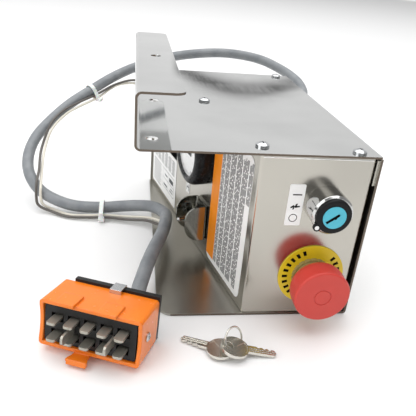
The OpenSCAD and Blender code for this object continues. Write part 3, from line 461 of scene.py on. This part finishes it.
label_film = moulded("label_film", (0.93, 0.93, 0.92), 0.38, vary=0.02)
ink_grey = moulded("ink_grey", (0.02, 0.02, 0.022), 0.6, Specular_IOR_Level=0.03)
ink_pale = moulded("ink_pale", (0.12, 0.125, 0.13), 0.6, Specular_IOR_Level=0.03)
ink_orange = moulded("ink_orange", (0.95, 0.29, 0.012), 0.45, Specular_IOR_Level=0.25)
ink_black = moulded("ink_black", (0.006, 0.006, 0.006), 0.6, Specular_IOR_Level=0.0)
for node in ("instruction_label", "info_label", "icon_label", "key_legend"):
    wear(node, label_film)
picker = random.Random(4)
row_start, row_step, row_width, row_count = 8.4, 1.4, 0.85, 36
rows_foot, rows_head, short_rows_foot = 11.5, 115, 84.0
short_rows, indented_rows, bare_rows = 4, (9, 10), (4, 11, 18, 25, 31)
rows = []
for i in range(row_count):
    u = row_start + i * row_step
    z = short_rows_foot if i < short_rows else rows_foot + (5 if i in indented_rows else 0)
    if i in bare_rows:
        continue
    while z < rows_head - 2:
        run = picker.uniform(2.5, 9)
        rows.append((u, u + row_width, z, min(z + run, rows_head)))
        z += run + picker.uniform(0.7, 1.2)
stripe = [(59, 73.9, 10.6, 115.4)]
header = [(163.5, 212.5, 57, 78)]
square_mark = [(126, 127, 42, 49), (131, 132, 42, 49), (127, 131, 45, 46)]
printed("instruction_rows", on_side, rows, ink_grey)
printed("instruction_stripe", on_side, stripe, ink_orange)
printed("info_header", on_side, header, ink_black)
info_rows = [(168 + 12 * c, 178 + 12 * c - 2.5 * ((c + k) % 2),
              38.0 + 1.75 * k, 38.75 + 1.75 * k) for c in range(6) for k in range(9)]
info_rows += [(168, 206, 34, 34.5), (168, 206, 14, 14.5), (168, 168.5, 14, 34),
              (187, 187.4, 14, 34), (205.6, 206, 14, 34), (168, 206, 24, 24.4)]
info_rows += [(211 + 3 * (k % 2), 238, 10 + 2.9 * k, 10.8 + 2.9 * k) for k in range(9)]
info_rows += [(171, 184, 26.5, 31.0), (190, 202, 16.5, 18.5), (190, 199, 28.0, 29.5),
              (171, 182, 17.0, 18.2), (171, 179, 20.0, 21.2)]
printed("info_rows", on_side, info_rows, ink_pale)
printed("icon_mark", on_side, square_mark, ink_grey)


def ring_mark(name, at, u, z, r_in, r_out, finish, steps=40):
    """A printed ring on a face."""
    points, faces = [], []
    for k in range(steps):
        a = 2 * math.pi * k / steps
        points += [at(u + r * math.cos(a), z + r * math.sin(a), print_height)
                   for r in (r_in, r_out)]
        n = (k + 1) % steps
        faces.append((2 * k, 2 * k + 1, 2 * n + 1, 2 * n))
    return add_mesh(name, points, faces, finish)


bar = [(-23.2, -16.9, 97.7, 98.6)]
ring_mark("legend_round", on_front, -20.6, 80.9, 2.45, 3.0, ink_black)
printed("legend_bar", on_front, bar, ink_black)
zigzag = [(-23.6, 89.0), (-21.4, 90.7), (-20.7, 89.6), (-19.9, 91.4), (-18.6, 91.6),
          (-19.2, 89.9), (-17.0, 90.1), (-17.0, 89.1), (-20.2, 88.4), (-20.6, 89.0),
          (-21.0, 87.4), (-22.2, 87.2), (-21.6, 88.8), (-23.4, 88.1)]
zigzag_faces = [(0, 13, 12, 1), (1, 12, 9, 2), (12, 11, 10, 9), (2, 9, 8, 5), (2, 5, 4, 3),
                (5, 8, 7, 6)]
add_mesh("legend_zigzag", [on_front(x, z, print_height) for x, z in zigzag], zigzag_faces,
         ink_black)


# Stop button: a printed yellow disc, a collar of olive plastic with fine ribs, and
# a moulded red mushroom cap. A ring nut behind the panel holds it, with grey
# contact blocks clipped on.
disc_yellow = moulded("disc_yellow", (0.80, 0.60, 0.015), 0.38)
collar_olive = moulded("collar_olive", (0.34, 0.27, 0.10), 0.5)
cap_red = moulded("cap_red", (0.62, 0.048, 0.034), 0.4, vary=0.03)
contact_grey = moulded("contact_grey", (0.05, 0.05, 0.055), 0.5)
wear("stop_disc", disc_yellow)
wear("stop_collar", collar_olive)
wear("stop_cap", cap_red)
wear("stop_nut", contact_grey)
wear("stop_contacts", contact_grey)
stop_height = 35
disc_face = 1.02
stop_at = on_front(0, stop_height, disc_face)
mark_angles = list(range(112, 239, 14)) + list(range(-12, 45, 14))
mark_corners = ((17.5, -1.0), (21.3, -1.2), (21.3, 1.2), (17.5, 1.0))
marks_at, marks = [], []
for a in mark_angles:
    t = math.radians(a)
    across = Vector((-math.sin(t), 0, math.cos(t)))
    outward = Vector((math.cos(t), 0, math.sin(t)))
    k = len(marks_at)
    marks_at += [stop_at + (outward * r + across * w) / 1000 for r, w in mark_corners]
    marks.append((k, k + 1, k + 2, k + 3))
add_mesh("disc_marks", marks_at, marks, ink_black)


# Key switch: a chromed bezel over the panel, a black rotor with its pointer and
# white dot, and a turquoise lock core, with a flat black shape of painted shade
# where the key's mouth opens. A ring nut holds it, with grey contact blocks clipped on.
def turned(name, profile, at, axes, finish, body="control_box", steps=96,
           smooth=35):
    """A piece turned about an axis: profile of (radius, height) in millimetres."""
    x, y, z = axes
    points, faces = [], []
    for r, h in profile:
        for k in range(steps):
            a = 2 * math.pi * k / steps
            points.append(at + (x * math.cos(a) * r + y * math.sin(a) * r + z * h) / 1000)
    for i in range(len(profile) - 1):
        for k in range(steps):
            n = (k + 1) % steps
            faces.append((i * steps + k, i * steps + n, (i + 1) * steps + n,
                          (i + 1) * steps + k))
    if profile[0][0] > 0:
        faces.append(tuple(range(steps - 1, -1, -1)))
    if profile[-1][0] > 0:
        faces.append(tuple((len(profile) - 1) * steps + k for k in range(steps)))
    return add_mesh(name, points, faces, finish, body, smooth)


chrome = satin_sheet("bezel_chrome", (0.58, 0.58, 0.57), 0.1, (1, 1, 1), edge=0.0008)
rotor_black = moulded("rotor_black", (0.010, 0.010, 0.011), 0.36, edge=0.0006,
                      Specular_IOR_Level=0.15)
core_turquoise = moulded("core_turquoise", (0.075, 0.50, 0.64), 0.4)
wear("key_bezel", chrome)
wear("key_rotor", rotor_black)
wear("lock_insert", core_turquoise)
wear("key_nut", zinc)
wear("key_contacts", contact_grey)
lock_height = 91.4
lock_face = 19.93
pointer = math.radians(217)
pointer_reach = 12.9
dot_profile = [(1.5, 19.22), (1.5, 19.32), (1.3, 19.4)]
front_axes = (Vector((1, 0, 0)), Vector((0, 0, 1)), Vector((0, -1, 0)))
dot_at = on_front(pointer_reach * math.cos(pointer),
                  lock_height + pointer_reach * math.sin(pointer), 0)
turned("pointer_dot", dot_profile, dot_at, front_axes, label_film, body="lock",
       steps=32)
along = Vector((math.cos(pointer), 0, math.sin(pointer)))
across = Vector((-math.sin(pointer), 0, math.cos(pointer)))
# Painted shade: a flat black shape on the lock core's face stands in for the dark opening of
# the key's mouth.
mouth = [(6.3, -0.95), (6.3, 0.95), (0.6, 0.95), (0.2, 1.5), (-0.9, 1.5), (-1.3, 0.95),
         (-3.2, 0.95), (-3.6, 0.6), (-3.6, -0.6), (-3.2, -0.95)]
mouth_at = on_front(0, lock_height, lock_face)
add_mesh("lock_mouth_shade", [mouth_at + (along * u + across * v) / 1000 for u, v in mouth],
         [tuple(range(len(mouth)))], ink_black, body="lock")


# Hour meter: a round black plastic housing with a stepped nose and a printed white
# dial under glass, held from behind by a zinc plated strap and its nuts.
meter_black = moulded("meter_black", (0.011, 0.011, 0.012), 0.24, edge=0.001,
                      Specular_IOR_Level=0.15)
dial_print = moulded("dial_print", (0.95, 0.95, 0.95), 0.4)
wear("meter_housing", meter_black)
wear("meter_clamp", zinc)
wear("meter_nuts", zinc)
meter_at = on_side(106.5, 89.5, 0)
side_axes = (-side_back, Vector((0, 0, 1)), side_out)
dial_radius, dial_back, dial_top = 21.6, 9.42, 10.42
dial_face = turned("dial_face", [(dial_radius, dial_back), (dial_radius, dial_top)],
                   meter_at, side_axes, dial_print)
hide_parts("meter_dial")


def dial_marks(name, count, r0, r1, half, height, finish):
    """Fine radial marks on the dial."""
    points, faces = [], []
    x, y, z = side_axes
    for k in range(count):
        a = 2 * math.pi * k / count
        u, v = x * math.cos(a) + y * math.sin(a), -x * math.sin(a) + y * math.cos(a)
        n = len(points)
        points += [meter_at + (u * r + v * w + z * height) / 1000
                   for r, w in ((r0, -half), (r1, -half), (r1, half), (r0, half))]
        faces.append((n, n + 1, n + 2, n + 3))
    return add_mesh(name, points, faces, finish)


window_height, long_height, wheel_height = 10.53, 10.54, 10.55
marks_rim = 20.0
window = [(98.5, 114.5, 86.5, 92.5)]
wheels = [(99.2 + 3.1 * k, 101.6 + 3.1 * k, 87.2, 91.8) for k in range(5)]
dial_marks("dial_fine_marks", 60, 18.4, marks_rim, 0.12, window_height, ink_grey)
dial_marks("dial_long_marks", 12, 17.4, marks_rim, 0.25, long_height, ink_black)
printed("dial_window", on_side, window, ink_black, window_height)
printed("dial_wheels", on_side, wheels, ink_pale, wheel_height)
meter_glass = new_finish("meter_glass", (0.95, 0.97, 0.98), 0.04, Alpha=0.035, IOR=1.45)
feed(meter_glass, "Roughness", spread(meter_glass, 120.0, 0.03, 0.07))
wear("meter_lens", meter_glass)


# Toggle switch: a zinc plated body behind the side face, a threaded bushing with
# its nut, a chromed bat lever, and a channel guard of bright steel round it.
guard_steel = satin_sheet("guard_steel", (0.38, 0.375, 0.34), 0.13, (1, 1, 0.05))
wear("toggle_guard", guard_steel)
wear("toggle_body", zinc)
wear("toggle_nut", chrome)
wear("toggle_lever", chrome)


# Plug: a glossy shell of orange nylon round a black core with tinned blades. A
# black cover closes it behind, held by a steel clip, and a screw sits in its
# side.
shell_orange = moulded("shell_orange", (0.93, 0.215, 0.012), 0.2, edge=0.0012, vary=0.04,
                       Subsurface_Weight=0.1, Subsurface_Scale=0.004)
core_black = moulded("core_black", (0.012, 0.012, 0.012), 0.42, Specular_IOR_Level=0.3)
blade_tin = satin_sheet("blade_tin", (0.46, 0.44, 0.38), 0.38, (1, 0.05, 1), tone=0.15)
blade_shader = blade_tin.node_tree.nodes["Principled BSDF"]
blade_shader.inputs["Metallic"].default_value = 0.7
wear("plug_shell", shell_orange)
wear("plug_core", core_black)
wear("plug_cover", core_black)
wear("plug_blades", blade_tin)
wear("plug_clip", zinc)
wear("plug_screws", zinc)


# Keys: two flat keys, stamped and nickel plated, with round bows, loose on a small
# ring of the same metal.
key_nickel = satin_sheet("key_nickel", (0.70, 0.68, 0.62), 0.24, (0.2, 1, 1), tone=0.06,
                        grain=0.000001)
for node in ("rear_key", "front_key", "key_ring"):
    wear(node, key_nickel)


# Floor and light: a plain white floor with soft boxes above, in front and at the
# left. The surroundings are bright at the rear and greyer in front, with one soft
# dark arch low at the rear, which the cover plate mirrors.
floor_white = new_finish("floor_white", (0.90, 0.90, 0.90), 0.6)
floor_corners = ((-4, -4), (4, -4), (4, 5), (-4, 5))
floor_level = -0.0003
floor_data = bpy.data.meshes.new("floor")
floor_data.from_pydata([(x, y, floor_level) for x, y in floor_corners], [], [(0, 1, 2, 3)])
floor_data.materials.append(floor_white)
floor = bpy.data.objects.new("floor", floor_data)
bpy.context.scene.collection.objects.link(floor)


def soft_box(name, at, towards, size, watts):
    """A square soft box that faces a point."""
    lamp = bpy.data.lights.new(name, "AREA")
    lamp.size = size
    lamp.energy = watts
    piece = bpy.data.objects.new(name, lamp)
    piece.location = at
    piece.rotation_mode = "QUATERNION"
    piece.rotation_quaternion = (Vector(towards) - Vector(at)).to_track_quat("-Z", "Y")
    bpy.context.scene.collection.objects.link(piece)


soft_box("box_above", (0, 0.3, 3.0), (0, 0.3, 0), 4.0, 105)
soft_box("box_left", (-1.7, -1.0, 1.2), (0, 0, 0.05), 1.5, 17)
soft_box("box_front", (0.3, -1.7, 1.6), (0, 0, 0.05), 1.0, 4)

world = bpy.context.scene.world or bpy.data.worlds.new("studio")
bpy.context.scene.world = world
world.use_nodes = True
tree = world.node_tree
sky = tree.nodes["Background"]
around = tree.nodes.new("ShaderNodeTexCoord")
split = tree.nodes.new("ShaderNodeSeparateXYZ")
tree.links.new(around.outputs["Generated"], split.inputs[0])


def reckon(operation, first, second=None):
    """A sum in the world's nodes, from numbers or outputs."""
    node = tree.nodes.new("ShaderNodeMath")
    node.operation = operation
    for socket, value in zip(node.inputs, (first, second)):
        if isinstance(value, (int, float)):
            socket.default_value = value
        elif value is not None:
            tree.links.new(value, socket)
    return node.outputs[0]


def glide(value, low, high, to_low, to_high, way="LINEAR"):
    """A value from low to high mapped to to_low to to_high in the world's nodes."""
    node = tree.nodes.new("ShaderNodeMapRange")
    node.interpolation_type = way
    for key, number in (("From Min", low), ("From Max", high), ("To Min", to_low),
                        ("To Max", to_high)):
        node.inputs[key].default_value = number
    tree.links.new(value, node.inputs["Value"])
    return node.outputs[0]


def away(output, middle):
    """How far an output lies from a middle value."""
    return reckon("ABSOLUTE", reckon("SUBTRACT", output, middle))


arch_middle, arch_height, arch_droop = 0.20, 0.222, 2.2
arch_core, arch_rim, arch_tone = 0.005, 0.018, 0.14
gap_middle, gap_core, gap_rim = 0.03, 0.035, 0.065
shade = glide(split.outputs["Y"], -0.5, 0.8, 0.24, 0.86)
aside = reckon("POWER", away(split.outputs["X"], arch_middle), 2.0)
arch = reckon("SUBTRACT", arch_height, reckon("MULTIPLY", aside, arch_droop))
strip = glide(away(split.outputs["Z"], arch), arch_core, arch_rim, arch_tone, 1.0,
              "SMOOTHSTEP")
gap = glide(away(split.outputs["X"], gap_middle), gap_core, gap_rim, 1.0, 0.0,
            "SMOOTHSTEP")
in_front = reckon("LESS_THAN", split.outputs["Y"], 0.3)
arch_share = reckon("MAXIMUM", reckon("MAXIMUM", strip, in_front), gap)
tree.links.new(reckon("MULTIPLY", shade, arch_share), sky.inputs["Strength"])
sky.inputs["Color"].default_value = (1, 1, 1, 1)
